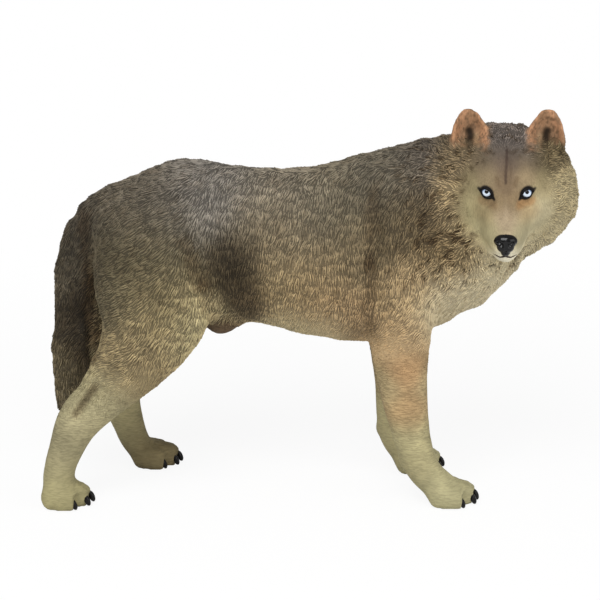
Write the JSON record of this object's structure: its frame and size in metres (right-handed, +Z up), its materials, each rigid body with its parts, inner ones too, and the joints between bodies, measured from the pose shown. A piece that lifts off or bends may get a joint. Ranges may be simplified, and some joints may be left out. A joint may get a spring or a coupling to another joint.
{
  "type": "animal toy figure",
  "caption": "Standing wolf figure moulded in one piece, walking stance, head turned to its right, hanging bushy tail, flat soles.",
  "frame": {"origin": "on the ground plane, under the middle of the figure's bounding box", "axes": "+X the way the body walks, +Y the animal's left side, +Z up; the head is turned to face -Y"},
  "size_m": [0.111, 0.0402, 0.0823],
  "materials": {
    "painted_pvc": "hand-painted and airbrushed over carved fur, satin eyes, nose and claws"
  },
  "bodies": {
    "root": {"wolf_figure": "painted_pvc"}
  },
  "joints": []
}
